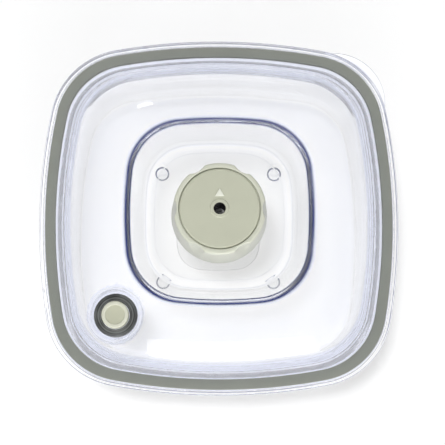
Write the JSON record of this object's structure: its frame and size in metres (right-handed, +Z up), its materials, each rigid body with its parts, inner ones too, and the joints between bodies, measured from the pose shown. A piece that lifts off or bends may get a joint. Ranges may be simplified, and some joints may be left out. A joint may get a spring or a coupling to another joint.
{
  "type": "vacuum food canister",
  "caption": "Shallow clear square food canister with a sealed lid, a turning selector knob with a hose port, and a sprung release button.",
  "frame": {"origin": "centre of the footprint, on the surface that the feet stand on", "axes": "+Z up, towards the lid; +Y towards the side the knob's arrow points to; the release valve is by the corner towards -X -Y"},
  "size_m": [0.18, 0.18, 0.0675],
  "materials": {
    "clear_container": "clear, high gloss, faint blue",
    "clear_lid": "clear, high gloss, faint blue",
    "gasket_rubber": "satin grey-green silicone",
    "sage_grip": "satin pale sage",
    "sage_face": "fine matt sage",
    "sage_button": "fine matt sage",
    "black_rubber": "matt black silicone",
    "grey_rubber": "glossy dark grey silicone",
    "white_silicone": "translucent white silicone",
    "white_plastic": "satin white acetal",
    "stainless": "fine brushed stainless"
  },
  "bodies": {
    "container": {"container": "clear_container"},
    "lid": {"lid_shell": "clear_lid", "lid_gasket": "gasket_rubber", "valve_seat": "black_rubber", "valve_plate": "white_plastic", "check_valve": "white_silicone", "valve_housing": "white_plastic", "filter_screen": "stainless", "housing_screws": "stainless", "release_grommet": "grey_rubber"},
    "knob": {"knob_grip": "sage_grip", "knob_face": "sage_face", "port_seal": "black_rubber", "valve_rotor": "white_plastic", "spindle_oring": "black_rubber", "spindle_spring": "stainless", "spindle_washer": "stainless", "spindle_clip": "stainless", "knob_screws": "stainless"},
    "release": {"release_button": "sage_button", "release_seal": "black_rubber", "release_washer": "stainless", "release_clip": "stainless", "release_spring": "stainless"}
  },
  "joints": [
    {"name": "lid_lift", "type": "slide", "parent": "container", "child": "lid", "axis": [0, 0, 1], "range_m": [0, 0.08]},
    {"name": "knob_turn", "type": "hinge", "parent": "lid", "child": "knob", "pos_m": [0, 0, 0.05], "axis": [0, 0, 1], "range_deg": [-120, 120]},
    {"name": "release_press", "type": "slide", "parent": "lid", "child": "release", "axis": [0, 0, -1], "range_m": [0, 0.002], "stiffness_N_per_m": 900, "springref_m": -0.002, "deforming": ["release_spring"]}
  ]
}
